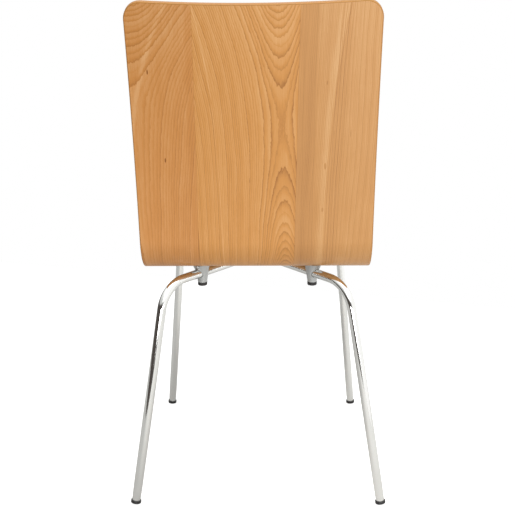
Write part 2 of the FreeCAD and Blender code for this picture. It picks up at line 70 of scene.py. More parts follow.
CORNER_ROWS = 15
MIDDLE_ROWS = 180
MIDDLE_COLUMNS = 67
ARRIS_ROWS = 5
LINE_STEPS = 4001
MERGE_DISTANCE = 1e-6
SHARP_TURN = math.radians(40)

# The seat frame: its origin is where the two tubes are welded, its Z square to the seat.
mounts = {mount["name"]: mount for mount in frame["record"]["mounts"]}
seat_up = np.array(mounts["seat_top"]["axis"])
seat_ahead = np.array([0.0, seat_up[2], -seat_up[1]])
seat_level = TUBE_RADIUS + SEAT_GAP + SHELL_THICKNESS
weld = np.array(mounts["seat_top"]["pos_m"]) - seat_up * seat_level
seat_tilt = math.asin(-seat_up[1])

half_sheet = SHELL_THICKNESS / 2
nose_mid = NOSE_RADIUS - half_sheet
bend_mid = BEND_RADIUS - half_sheet
back_radius = BACK_LENGTH / (LEAN_TOP - LEAN_LOW)
back_mid = BACK_LENGTH * (1 + half_sheet / back_radius)
low_rise = math.pi / 2 - (LEAN_LOW - seat_tilt)
top_rise = math.pi / 2 - (LEAN_TOP - seat_tilt)
marks = np.cumsum([0, nose_mid * NOSE_TURN, SEAT_FLAT, bend_mid * low_rise, back_mid])
rises = [NOSE_TURN, 0, 0, low_rise, top_rise]
sheet_length = marks[-1]
fine = np.linspace(0, sheet_length, LINE_STEPS)


def running_sum(slope, start):
    """The integral of slope along the sheet by the trapezium rule, from start."""
    steps = (slope[1:] + slope[:-1]) / 2 * np.diff(fine)
    return start + np.concatenate([[0.0], np.cumsum(steps)])


nose_ahead = SEAT_FLAT - BEND_BEHIND_WELD
nose_level = seat_level - NOSE_RADIUS
fine_rise = np.interp(fine, marks, rises)
line_ahead = running_sum(-np.cos(fine_rise), nose_ahead + nose_mid * math.sin(NOSE_TURN))
line_up = running_sum(np.sin(fine_rise), nose_level + nose_mid * math.cos(NOSE_TURN))


def in_seat(across, ahead, up):
    """Points of the seat frame: the weld plus across along X, ahead and up along its axes."""
    shape = np.broadcast(across, ahead, up).shape
    across, ahead, up = (np.broadcast_to(a, shape)[..., None] for a in (across, ahead, up))
    return weld + across * np.array([1.0, 0, 0]) + ahead * seat_ahead + up * seat_up


def on_sheet(u, v, w):
    """The place of laid-out coordinates: u across, v along from the nose, w through.

    The middle line turns evenly along the nose, runs straight, turns up into the back and
    then leans slowly backwards. A point leaves it along the line's normal by w, counted
    from the lower face, and by the wrap, which grows up the back and with u squared.
    """
    rise = np.interp(v, marks, rises)
    share = np.clip((v - marks[3]) / back_mid, 0, 1)
    wrap = BACK_WRAP * share * (u / (SHELL_WIDTH / 2)) ** 2
    out = w - half_sheet + wrap
    ahead = np.interp(v, fine, line_ahead) + out * np.sin(rise)
    up = np.interp(v, fine, line_up) + out * np.cos(rise)
    return in_seat(u, ahead, up)


def laid_out(inset):
    """Grids of u and v over the sheet, its outline moved inwards by inset.

    Rows crowd together at the four corners so that they step evenly round each quarter
    circle: a row at distance r(1 - cos a) from the end is r(1 - sin a) narrower. The
    corners at the nose are quarter circles in plan, so their distance is taken forwards.
    Columns are shares of the half width, with two close together at either side.
    """
    turn = np.linspace(0, math.pi / 2, CORNER_ROWS)
    nose_r, top_r = NOSE_CORNER - inset, BACK_CORNER - inset
    tip = np.interp(inset, fine, line_ahead)
    nose_v = np.interp(-(tip - nose_r * (1 - np.cos(turn))), -line_ahead, fine)
    top_v = sheet_length - inset - top_r * (1 - np.cos(turn[::-1]))
    middle_v = np.linspace(nose_v[-1], top_v[0], MIDDLE_ROWS)[1:-1]
    v = np.concatenate([nose_v, middle_v, top_v])
    narrower = np.zeros(len(v))
    narrower[: len(turn)] = nose_r * (1 - np.sin(turn))
    narrower[-len(turn) :] = top_r * (1 - np.sin(turn[::-1]))
    half_width = SHELL_WIDTH / 2 - inset - narrower
    middle = np.linspace(-0.97, 0.97, MIDDLE_COLUMNS)
    share = np.concatenate([[-1, -0.99], middle, [0.99, 1]])
    return half_width[:, None] * share, np.repeat(v[:, None], len(share), 1)


def rim_of(grid):
    """The outermost ring of a grid's values, in order round it."""
    return np.concatenate([grid[0], grid[1:, -1], grid[-1, -2::-1], grid[-2:0:-1, 0]])


def patch(points, closed=(False, False), finish=0, laid=None):
    """A grid of points, which way it closes, its finish's number and its laid-out places."""
    return {"points": points, "closed": closed, "finish": finish, "laid": laid}


def quads_of(shape, closed):
    """The corner numbers of a grid's cells, which go on past an edge that is closed."""
    number = np.arange(shape[0] * shape[1]).reshape(shape)
    if closed[0]:
        number = np.vstack([number, number[:1]])
    if closed[1]:
        number = np.hstack([number, number[:, :1]])
    cells = [number[:-1, :-1], number[:-1, 1:], number[1:, 1:], number[1:, :-1]]
    return np.stack([cell.ravel() for cell in cells], 1)


def surface(name, patches, finishes):
    """One mesh object from grids, merged where they meet and turned to face outwards."""
    points = np.concatenate([p["points"].reshape(-1, 3) for p in patches])
    starts = np.cumsum([0] + [p["points"][..., 0].size for p in patches[:-1]])
    quads = [quads_of(p["points"].shape[:2], p["closed"]) for p in patches]
    index = np.concatenate([np.full(len(q), p["finish"]) for q, p in zip(quads, patches)])
    faces = np.concatenate([q + start for q, start in zip(quads, starts)])
    mesh = bpy.data.meshes.new(name)
    mesh.from_pydata(points.tolist(), [], faces.tolist())
    mesh.polygons.foreach_set("material_index", index.astype(np.int32))
    if patches[0]["laid"] is not None:
        laid = np.concatenate([p["laid"].reshape(-1, 3) for p in patches])
        attribute = mesh.attributes.new("laid", "FLOAT_VECTOR", "POINT")
        attribute.data.foreach_set("vector", laid.astype(np.float32).ravel())
    work = bmesh.new()
    work.from_mesh(mesh)
    bmesh.ops.remove_doubles(work, verts=work.verts, dist=MERGE_DISTANCE)
    bmesh.ops.recalc_face_normals(work, faces=work.faces)
    work.to_mesh(mesh)
    work.free()
    mesh.shade_smooth()
    mesh.set_sharp_from_angle(angle=SHARP_TURN)
    for finish in finishes:
        mesh.materials.append(finish)
    piece = bpy.data.objects.new(name, mesh)
    bpy.context.scene.collection.objects.link(piece)
    return piece


class Value:
    """A shader socket's value. Arithmetic on it adds Math nodes."""

    def __init__(self, finish, socket):
        self.finish, self.socket = finish, socket

    def math(self, operation, *others):
        """A Math node on this value and the others."""
        inputs = dict(enumerate((self,) + others))
        return self.finish.node("ShaderNodeMath", {"operation": operation}, inputs)

    def __add__(self, other):
        return self.math("ADD", other)

    def __sub__(self, other):
        return self.math("SUBTRACT", other)

    def __rsub__(self, other):
        return self.math("MULTIPLY_ADD", -1.0, other)

    def __mul__(self, other):
        return self.math("MULTIPLY", other)

    def __truediv__(self, other):
        return self.math("DIVIDE", other)

    def __pow__(self, other):
        return self.math("POWER", other)

    def __gt__(self, other):
        return self.math("GREATER_THAN", other)

    __radd__, __rmul__ = __add__, __mul__

    def ramp(self, low, high):
        """0 below low, 1 above high and a smooth step between, or the reverse."""
        settings = {"interpolation_type": "SMOOTHSTEP"}
        sockets = {"Value": self, "From Min": low, "From Max": high}
        return self.finish.node("ShaderNodeMapRange", settings, sockets)


class Finish:
    """A material with one Principled surface, put together node by node."""

    def __init__(self, name, **sockets):
        self.material = bpy.data.materials.new(name)
        self.material.use_nodes = True
        self.tree = self.material.node_tree
        self.surface = self.tree.nodes["Principled BSDF"]
        self.paint(**sockets)

    def feed(self, socket, value):
        """Links a value to a socket, or sets a plain number or colour on it."""
        if isinstance(value, Value):
            self.tree.links.new(value.socket, socket)
        else:
            socket.default_value = value

    def paint(self, **sockets):
        """Sets the surface's sockets, named with underscores for spaces."""
        for name, value in sockets.items():
            self.feed(self.surface.inputs[name.replace("_", " ")], value)

    def node(self, kind, settings=None, sockets=None, output=0):
        """A new node: its settings first, then its sockets by name or number."""
        node = self.tree.nodes.new(kind)
        for name, value in (settings or {}).items():
            setattr(node, name, value)
        for name, value in (sockets or {}).items():
            self.feed(node.inputs[name], value)
        return Value(self, node.outputs[output])

    def noise(self, x, y, z, detail=2.0, roughness=0.5):
        """Noise from about -1 to 1 at a point whose coordinates are in grains."""
        place = self.node("ShaderNodeCombineXYZ", {}, {0: x, 1: y, 2: z})
        sockets = {"Vector": place, "Scale": 1.0, "Detail": detail, "Roughness": roughness}
        return self.node("ShaderNodeTexNoise", {}, sockets) * 2 - 1

    def mix(self, share, first, second):
        """A colour that goes from first to second as share goes from 0 to 1."""
        settings = {"data_type": "RGBA", "clamp_factor": True}
        sockets = {0: share, 6: first, 7: second}
        return self.node("ShaderNodeMix", settings, sockets, 2)

    def bump(self, height, distance, strength):
        """A normal for a relief of that height, which is in units of distance."""
        sockets = {"Height": height, "Distance": distance, "Strength": strength}
        return self.node("ShaderNodeBump", {}, sockets)

    def place(self, source="Object"):
        """Object coordinates, or the laid-out ones, split into x, y and z in millimetres."""
        if source == "Object":
            place = self.node("ShaderNodeTexCoord", {}, {}, 3)
        else:
            place = self.node("ShaderNodeAttribute", {"attribute_name": source}, {}, 1)
        parts = [self.node("ShaderNodeSeparateXYZ", {}, {0: place}, i) for i in range(3)]
        return [part * 1000 for part in parts]


def leaf(joint, heart, depth, middle, above, below, flare, ring, contrast, colour):
    """One leaf of veneer, in millimetres from the chair's centre and the back's top edge.

    joint is where its right-hand edge is at the top of the back and at the bend. heart is
    the line where the knife came nearest the tree's heart, at the top and at the bend.
    It passed depth from it at middle, and nearer above and below, by those shares of the
    distance squared. flare is how much wider the figure is at the top edge, ring a year's
    growth, and contrast how dark its late wood is.
    """
    return {
        "joint": joint,
        "heart": heart,
        "depth": depth,
        "middle": middle,
        "above": above,
        "below": below,
        "flare": flare,
        "ring": ring,
        "contrast": contrast,
        "colour": colour,
    }


# What all the leaves share. Their lengths are in millimetres, as a leaf's are.
LATE_WOOD = (0.235, 0.078, 0.014, 1)
PALE_WOOD = (0.90, 0.62, 0.34, 1)
SWAY = 3.0
FIGURE_LENGTH = 420.0
LEAST_DEPTH = 3.0
JAGGEDNESS = 0.36
LATE_WOOD_POWER = 3.5
SEAM_WIDTH = 0.4
FAN_LENGTH = 110


def veneer(name, leaves, streaks, flecks, seed):
    """Lacquered veneer of several leaves, with pale or dark streaks and small flecks.

    A streak is the x that it runs at, how far it bows out at the top edge and over what
    length that fades, its half width and how much darker it is. A fleck is its x, how far
    it is below the top edge, its half width, its half length and how much darker it is.

    Year rings are circles round the heart, cut by the knife's plane: the ring number is
    sqrt(x^2 + c^2) / ring, where x is the distance from the heart's line and c the knife's
    depth, so rings close into arches where c changes and run straight beside them. Each
    ring darkens towards its late wood as a power of the way through it, starts again pale
    and has a strength of its own. The figure fans out towards the top edge.
    """
    finish = Finish(name)
    x, v, _ = finish.place("laid")
    down = sheet_length * 1000 - v
    bend_down = BACK_LENGTH * 1000
    sway = finish.noise(x / 38, down / 150, seed, 1.0) * SWAY
    jag = finish.noise(x / 3.4, down / 14, seed + 3, 3.0, 0.6)
    wander = finish.noise(x / 11, down / 55, seed + 5, 2.0)
    spread = (down * (-1 / FAN_LENGTH)).math("EXPONENT")
    colour = None
    for piece in leaves:
        drift = (piece["heart"][1] - piece["heart"][0]) / bend_down
        across = (x - piece["heart"][0] - down * drift) / (spread * piece["flare"] + 1)
        across = across + sway + wander
        off_middle = down - piece["middle"]
        above = off_middle.math("MINIMUM", 0.0)
        under = off_middle.math("MAXIMUM", 0.0).math("MINIMUM", FIGURE_LENGTH)
        depth = piece["depth"] - above * above * piece["above"] - under * under * piece["below"]
        depth = depth.math("MAXIMUM", LEAST_DEPTH)
        from_heart = (across * across + depth * depth).math("SQRT")
        ring = from_heart / piece["ring"] + jag * JAGGEDNESS
        phase = ring.math("FRACT")
        strength = finish.node(
            "ShaderNodeTexWhiteNoise", {"noise_dimensions": "1D"}, {1: ring.math("FLOOR")}
        )
        # Late wood darkens the end of a ring, and every ring has a tone of its own.
        line = phase ** LATE_WOOD_POWER * phase.ramp(1.0, 0.94)
        tone = (line * (strength * 1.1 + 0.3) + strength * 0.22 - 0.2) * piece["contrast"]
        if colour is None:
            colour, late, gap = piece["colour"], tone, None
        else:
            slope = (joint[1] - joint[0]) / bend_down
            past = x - joint[0] - down * slope
            colour = finish.mix(past > 0.0, colour, piece["colour"])
            late = late + (tone - late) * (past > 0.0)
            seam = past.math("ABSOLUTE").ramp(SEAM_WIDTH, SEAM_WIDTH / 4)
            gap = seam if gap is None else gap + seam
        joint = piece["joint"]
    fibre = finish.noise(x / 0.5, down / 18, seed + 7, 3.0, 0.7)
    strand = finish.noise(x / 1.9, down / 75, seed + 8, 2.0, 0.6)
    pores = finish.noise(x / 0.4, down / 4.5, seed + 9, 1.0).ramp(0.28, 0.55)
    cloud = finish.noise(x / 20, down / 80, seed + 11, 2.0)
    darker = late + fibre * 0.12 + strand * 0.12 + pores * 0.14 + cloud * 0.08 + gap * 0.35
    # Streaks and flecks waver with the wood, and the top edge is painted paler: partly the
    # veneer's own lighter tone there, partly painted light where the top of the back catches
    # more light.
    for line_x, bow, fade, width, amount in streaks:
        course = (down * (-1 / fade)).math("EXPONENT") * bow + line_x
        beside = (x + sway * 0.35 + wander * 0.4 - course).math("ABSOLUTE")
        darker = darker + beside.ramp(width, width * 0.2) * amount
    for fleck_x, fleck_down, fleck_width, fleck_length, amount in flecks:
        beside = (x + jag * 0.4 - fleck_x) / fleck_width
        along = (down - fleck_down) / fleck_length
        near = beside * beside + along * along
        darker = darker + near.ramp(1.0, 0.3) * amount
    # Painted light in part: the wood is made paler towards the top edge, half its own tone and
    # half standing in for the light on the top of the back.
    darker = darker - spread * 0.12
    deep = finish.mix(darker, colour, LATE_WOOD)
    wood = finish.mix(darker * -1, deep, PALE_WOOD)
    relief = fibre * 0.5 - pores + late * -0.6
    finish.paint(
        Base_Color=wood,
        Roughness=fibre * 0.03 + pores * 0.05 + 0.4,
        Normal=finish.bump(relief, 0.00004, 0.5),
        Specular_IOR_Level=0.35,
        Coat_Weight=0.2,
        Coat_Roughness=0.2,
    )
    return finish.material


AMBER = (0.530, 0.226, 0.058, 1)
HONEY = (0.566, 0.254, 0.062, 1)
STRAW = (0.530, 0.258, 0.081, 1)

outside_veneer = veneer(
    "veneer_outside",
    [
        leaf((-93, -98), (-190, -220), 66, 175, 0.00134, 0.00012, 0.6, 3.2, 0.46, AMBER),
        leaf((72, 66), (38, 50), 43.9, 190, 0.00066, 0.00042, 0.35, 2.6, 0.62, HONEY),
        leaf((400, 400), (330, 318), 60, 200, 0.00060, 0.00020, -0.04, 2.6, 0.32, STRAW),
    ],
    streaks=[
        (-54, -40, 150, 1.5, -0.16),
        (-230, 97, 180, 6.0, -0.15),
        (-103, 4, 100, 8.0, 0.07),
        (104, 38, 190, 9.0, -0.13),
        (108, 38, 190, 1.2, -0.08),
        (112, 38, 190, 0.8, 0.26),
        (80, 4, 200, 24, 0.17),
        (94, 4, 200, 1.2, 0.14),
        (76, 4, 200, 1.0, 0.12),
        (116, 22, 300, 0.8, 0.36),
        (120.5, 22, 300, 0.7, 0.28),
        (125, 23, 300, 0.9, 0.36),
        (130, 24, 300, 0.7, 0.26),
    ],
    flecks=[
        (-147, 254, 1.3, 4.5, 1.6),
        (-167, 108, 1.3, 4.5, 1.6),
        (-98, 135, 0.9, 6.0, 0.3),
        (-98, 410, 1.2, 40.0, 0.35),
        (-9, 290, 0.8, 4.0, 0.4),
        (115, 125, 1.4, 4.0, 0.3),
        (115, 265, 2.4, 7.0, 0.3),
        (112, 342, 2.0, 4.5, 0.3),
        (155, 210, 0.7, 8.0, 0.4),
    ],
    seed=2.0,
)
inside_veneer = veneer(
    "veneer_inside",
    [
        leaf((-64, -70), (-120, -112), 46, 260, 0.00050, 0.00018, 0.1, 2.5, 0.48, HONEY),
        leaf((78, 84), (2, -8), 52, 330, 0.00042, 0.00020, 0.2, 2.8, 0.52, STRAW),
        leaf((400, 400), (176, 166), 44, 150, 0.00045, 0.00014, 0.0, 2.6, 0.48, AMBER),
    ],
    streaks=[(60, 14, 200, 1.4, -0.14), (-96, -12, 260, 0.8, 0.2), (-92, -12, 260, 0.7, 0.16)],
    flecks=[(40, 520, 1.6, 5.0, 0.4), (-110, 350, 1.0, 4.0, 0.5), (128, 640, 1.2, 8.0, 0.4)],
    seed=31.0,
)

# The trimmed edge shows the plies: long grain and end grain by turns.
PLIES = 7
ply_edge = Finish("ply_edge")
edge_x, edge_v, edge_w = ply_edge.place("laid")
ply = edge_w * (PLIES / (SHELL_THICKNESS * 1000))
odd_ply = (ply * 0.5).math("FRACT") > 0.5
glue_line = (ply.math("FRACT") - 0.5).math("ABSOLUTE").ramp(0.42, 0.49)
run = edge_x + edge_v
end_grain = ply_edge.noise(run / 0.35, edge_w / 0.3, 4.0, 2.0)
long_grain = ply_edge.noise(run / 9, edge_w / 0.25, 8.0, 2.0)
shade = odd_ply * (end_grain * 0.18 + 0.56) + (1 - odd_ply) * (long_grain * 0.14 + 0.32)
shade = shade + glue_line * 0.3
ply_edge.paint(
    Base_Color=ply_edge.mix(shade, (0.50, 0.240, 0.054, 1), (0.18, 0.065, 0.014, 1)),
    Roughness=end_grain * 0.04 + 0.5,
    Normal=ply_edge.bump(end_grain * odd_ply - glue_line, 0.00006, 0.6),
    Specular_IOR_Level=0.3,
    Coat_Weight=0.1,
    Coat_Roughness=0.3,
)

face_u, face_v = laid_out(ARRIS)
quarter = np.linspace(0, math.pi / 2, ARRIS_ROWS)
rim_insets = np.concatenate([ARRIS * (1 - np.sin(quarter)), ARRIS * (1 - np.cos(quarter))])
rim_rises = np.concatenate(
    [ARRIS * (1 - np.cos(quarter)), SHELL_THICKNESS - ARRIS * (1 - np.sin(quarter))]
)
rim_rows = []
for inset, rise in zip(rim_insets, rim_rises):
    row_u, row_v = (rim_of(grid) for grid in laid_out(inset))
    rim_rows.append(np.stack([row_u, row_v, np.full(len(row_u), rise)], -1))
laid_grids = [
    (np.stack([face_u, face_v, np.zeros_like(face_u)], -1), (False, False)),
    (np.stack([face_u, face_v, np.full_like(face_u, SHELL_THICKNESS)], -1), (False, False)),
    (np.stack(rim_rows), (False, True)),
]
shell_patches = [
    patch(on_sheet(*np.moveaxis(laid, -1, 0)), closed, number, laid)
    for number, (laid, closed) in enumerate(laid_grids)
]
shell_finishes = [outside_veneer, inside_veneer, ply_edge.material]
shell = surface("plywood_shell", shell_patches, shell_finishes)
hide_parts("seat_shell")
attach(shell, "root")

# ============================================================ chrome frame
# Two lengths of steel tube, each bent three times: down at both ends into a leg and to a
# blunt V between, where the two are welded back to back. They are polished and chromed.
TUBE_WALL = 0.0015
TUBE_LIP = 0.0005
LEG_BEND = 0.055
CENTRE_BEND = 0.060
WELD_GAP = 0.0002
GLIDE_HEIGHT = 0.007
# How far to the side and ahead of the weld each rail's axis meets its leg's, measured
# along the seat, and where each leg's axis meets the floor.
CORNERS = {"front": (0.1677, 0.191), "rear": (0.1593, -0.195)}
FEET = {"front": (0.204, 0.200), "rear": (0.2215, -0.236)}
SIDES = {"left": -1, "right": 1}
ARC_STEP = 0.0025
ARC_STEPS_LEAST = 8
RUN_STEPS = 12
TUBE_SIDES = 56
CORNER_ROUNDS = 40


def unit(vector):
    """The vector at length 1."""
    return vector / np.linalg.norm(vector)


def rail_corner(end, side):
    """Where the axes of a rail and its leg would meet."""
    out, ahead = CORNERS[end]
    return in_seat(SIDES[side] * out, ahead, 0.0)


def leg_foot(end, side):
    """Where a leg's axis meets the floor."""
    out, ahead = FEET[end]
    return np.array([SIDES[side] * out, weld[1] + ahead, 0.0])


def centre_corner(side):
    """Where the axes of a tube's two rails would meet.

    The arc between them stays half the gap and a tube's radius from the centre plane, and
    the corner is R(1/cos a - 1) beyond it, where a is half the turn between the rails. As
    the turn depends on the corner, it is worked out again until both stand still.
    """
    corner = weld
    for _ in range(CORNER_ROUNDS):
        ahead, back = (unit(rail_corner(end, side) - corner) for end in ("front", "rear"))
        half_turn = (math.pi - math.acos(ahead @ back)) / 2
        beyond = CENTRE_BEND * (1 / math.cos(half_turn) - 1)
        corner = in_seat(SIDES[side] * (TUBE_RADIUS + WELD_GAP / 2 - beyond), 0.0, 0.0)
    return corner


def bend_reach(before, corner, after, radius):
    """How far the ends of a tangent arc are from the corner that it rounds."""
    half_angle = math.acos(unit(before - corner) @ unit(after - corner)) / 2
    return radius / math.tan(half_angle)


def bent_line(corners, radii):
    """Points and directions along straight runs that are joined by tangent arcs.

    An arc is start + R sin a * t + R(1 - cos a) * n, with t the direction of travel and n
    the direction towards its centre.
    """
    points, directions, start = [], [], corners[0]
    for before, corner, after, radius in zip(corners, corners[1:], corners[2:], radii):
        travel, leaving = unit(corner - before), unit(after - corner)
        reach = bend_reach(before, corner, after, radius)
        arc_start = corner - travel * reach
        inward = unit(leaving - travel * (leaving @ travel))
        turn = math.acos(travel @ leaving)
        run = np.linspace(0, 1, RUN_STEPS, endpoint=False)[:, None]
        points.append(start + (arc_start - start) * run)
        directions.append(np.repeat(travel[None], len(run), 0))
        steps = max(ARC_STEPS_LEAST, int(radius * turn / ARC_STEP))
        angle = np.linspace(0, turn, steps)[:, None]
        arc = np.sin(angle) * travel + (1 - np.cos(angle)) * inward
        points.append(arc_start + radius * arc)
        directions.append(np.cos(angle) * travel + np.sin(angle) * inward)
        start = corner + leaving * reach
    run = np.linspace(0, 1, RUN_STEPS)[1:, None]
    points.append(start + (corners[-1] - start) * run)
    directions.append(np.repeat(leaving[None], len(run), 0))
    return np.concatenate(points), np.concatenate(directions)


def rings_along(points, directions, radius, sides):
    """Circles square to the directions: point + r(cos a * p + sin a * q).

    p is square to the direction and to X, which no tube runs along, and q to both.
    """
    p = np.cross(directions, [1.0, 0, 0])
    p /= np.linalg.norm(p, axis=1, keepdims=True)
    q = np.cross(directions, p)
    angle = np.linspace(0, 2 * math.pi, sides, endpoint=False)
    cosine, sine = (f(angle)[None, :, None] for f in (np.cos, np.sin))
    circle = cosine * p[:, None] + sine * q[:, None]
    return points[:, None] + np.reshape(radius, (-1, 1, 1)) * circle


chrome = Finish("polished_chrome", Metallic=1.0)
tube_x, tube_y, tube_z = chrome.place()
smear = chrome.noise(tube_x / 9, tube_y / 9, tube_z / 26, 3.0)
polish = chrome.noise(tube_x / 1.2, tube_y / 1.2, tube_z / 14, 2.0)
chrome.paint(
    Base_Color=chrome.mix(smear * 0.5 + 0.5, (0.80, 0.80, 0.775, 1), (0.85, 0.85, 0.83, 1)),
    Roughness=smear * 0.025 + 0.075,
    Normal=chrome.bump(smear + polish * 0.3, 0.00002, 0.25),
)
bracket_spots, leg_ends = {}, {}
for side in SIDES:
    legs = {end: unit(rail_corner(end, side) - leg_foot(end, side)) for end in CORNERS}
    route = [
        leg_foot("rear", side) + legs["rear"] * GLIDE_HEIGHT,
        rail_corner("rear", side),
        centre_corner(side),
        rail_corner("front", side),
        leg_foot("front", side) + legs["front"] * GLIDE_HEIGHT,
    ]
    line, heading = bent_line(route, [LEG_BEND, CENTRE_BEND, LEG_BEND])
    outer_radius = np.full(len(line), TUBE_RADIUS)
    outer_radius[[0, -1]] -= TUBE_LIP
    inner_radius = np.full(len(line), TUBE_RADIUS - TUBE_WALL)
    outer = rings_along(line, heading, outer_radius, TUBE_SIDES)
    inner = rings_along(line, heading, inner_radius, TUBE_SIDES)
    tube = surface(
        f"{side}_chrome_tube",
        [patch(np.concatenate([outer, inner[::-1]]), (True, True))],
        [chrome.material],
    )
    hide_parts(f"{side}_frame_tube")
    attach(tube, "root")
    for end in CORNERS:
        corner, centre = rail_corner(end, side), centre_corner(side)
        reach = bend_reach(centre, corner, leg_foot(end, side), LEG_BEND)
        bracket_spots[end, side] = corner, unit(corner - centre), reach
        leg_ends[end, side] = leg_foot(end, side), legs[end]

# ============================================================ centre weld
# The tubes stand back to back and are welded in the groove above and the groove below.
# Each bead was laid in one pass, so its ripples are crescents, and it is chromed over.
BEAD_RADIUS = 0.0036
BEAD_SINK = 0.0026
BEAD_LENGTH = 0.030
BEAD_PITCH = 0.0019
BEAD_RIPPLE = 0.045
BEAD_WAIST = 0.95
BEAD_LAG = 0.0016


def bead(sign):
    """A rippled rod along the groove.

    At y along it and angle a round it the radius is R * end(y) * (waist + ripple), where
    end(y) = (1 - |2y/L|^6)^(1/3) closes both ends, and the ripple is a cosine of y whose
    phase lags round the bead, which makes crescents. sign is 1 above the tubes, -1 below.
    """
    y = BEAD_LENGTH / 2 * np.sin(np.linspace(-math.pi / 2, math.pi / 2, 150))[:, None]
    angle = np.linspace(0, 2 * math.pi, 40, endpoint=False)[None]
    closing = np.clip(1 - np.abs(2 * y / BEAD_LENGTH) ** 6, 0, 1) ** (1 / 3)
    lag = BEAD_LAG * np.abs(np.sin(angle))
    ripple = BEAD_RIPPLE * np.cos(2 * math.pi * (y + lag) / BEAD_PITCH)
    radius = BEAD_RADIUS * closing * (BEAD_WAIST + ripple)
    level = sign * (TUBE_RADIUS - BEAD_SINK)
    return in_seat(radius * np.sin(angle), y, level + sign * radius * np.cos(angle))


weld_finish = Finish("chromed_weld_bead", Metallic=1.0)
bead_x, bead_y, bead_z = weld_finish.place()
spatter = weld_finish.noise(bead_x / 1.1, bead_y / 1.1, bead_z / 1.1, 3.0)
weld_finish.paint(
    Base_Color=weld_finish.mix(
        spatter * 0.5 + 0.4, (0.78, 0.78, 0.76, 1), (0.55, 0.53, 0.5, 1)
    ),
    Roughness=spatter * 0.08 + 0.2,
    Normal=weld_finish.bump(spatter, 0.0001, 0.5),
)
beads = surface(
    "weld_beads",
    [patch(bead(1), (False, True)), patch(bead(-1), (False, True))],
    [weld_finish.material],
)
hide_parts("centre_weld")
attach(beads, "root")

# ============================================================ brackets
# Four die-cast blocks are slid along the rails. Each has a broad head against the seat, a
# waist round the tube and a round foot, and is tumbled and painted a satin silver.
cast = Finish("satin_casting", Metallic=0.55)
cast_x, cast_y, cast_z = cast.place()
grit = cast.noise(cast_x / 0.35, cast_y / 0.35, cast_z / 0.35, 2.0)
flow = cast.noise(cast_x / 6, cast_y / 6, cast_z / 6, 3.0)
cast.paint(
    Base_Color=cast.mix(flow * 0.5 + 0.5, (0.42, 0.43, 0.425, 1), (0.50, 0.51, 0.50, 1)),
    Roughness=flow * 0.05 + grit * 0.04 + 0.42,
    Normal=cast.bump(grit + flow * 0.6, 0.00005, 0.5),
)
STATIONS = [(end, side) for end in CORNERS for side in SIDES]
for end, side in STATIONS:
    node = frame["nodes"][f"{end}_{side}_bracket"]
    node.data.materials.clear()
    node.data.materials.append(cast.material)

# ============================================================ screws, washers and inserts
# An M6 cheese-head screw goes up through each bracket and its tube into a brass insert in
# the seat, with a plain washer under its head. The steel is zinc plated.
zinc = Finish("zinc_plate", Metallic=1.0)
zinc_x, zinc_y, zinc_z = zinc.place()
spangle = zinc.noise(zinc_x / 0.8, zinc_y / 0.8, zinc_z / 0.8, 3.0)
zinc.paint(
    Base_Color=zinc.mix(spangle * 0.5 + 0.5, (0.62, 0.64, 0.68, 1), (0.72, 0.71, 0.62, 1)),
    Roughness=spangle * 0.06 + 0.3,
    Normal=zinc.bump(spangle, 0.00004, 0.4),
)
brass = Finish("turned_brass", Metallic=1.0)
brass_x, brass_y, brass_z = brass.place()
turning = brass.noise(brass_x / 4, brass_y / 4, brass_z / 0.12, 1.0)
brass.paint(
    Base_Color=brass.mix(turning * 0.5 + 0.5, (0.70, 0.47, 0.17, 1), (0.80, 0.58, 0.26, 1)),
    Roughness=turning * 0.05 + 0.26,
    Normal=brass.bump(turning, 0.00003, 0.5),
)
for end, side in STATIONS:
    for fixing, finish in (("screw", zinc), ("washer", zinc), ("insert", brass)):
        node = frame["nodes"][f"{end}_{side}_{fixing}"]
        node.data.materials.clear()
        node.data.materials.append(finish.material)

# ============================================================ stacking buffers
# A rubber plug is pushed into each bracket's foot. When chairs are stacked, it rests on
# the chair below, so its face is flat and its rim is rounded.
BRACKET_FROM_BEND = 0.046
BRACKET_DEPTH = 0.0172
BUFFER_RADIUS = 0.0086
BUFFER_HEIGHT = 0.0066
BUFFER_ROUNDING = 0.0016
SHOULDER_ROUNDING = 0.0004
SPIGOT_RADIUS = 0.0056
SPIGOT_LENGTH = 0.0026
FACE_RING = BUFFER_RADIUS * 0.4
LATHE_SIDES = 64


def lathe(origin, axis, profile):
    """A profile of (radius, height) points turned about an axis through origin."""
    profile = np.array(profile)
    points = origin + profile[:, 1:] * axis
    directions = np.repeat(unit(axis)[None], len(points), 0)
    return rings_along(points, directions, profile[:, 0], LATHE_SIDES)


def round_corner(radius, height, rounding, start, stop, count):
    """Profile points on a quarter circle about a centre, between two angles in degrees."""
    angle = np.radians(np.linspace(start, stop, count))
    return np.stack([radius + rounding * np.cos(angle), height + rounding * np.sin(angle)], 1)


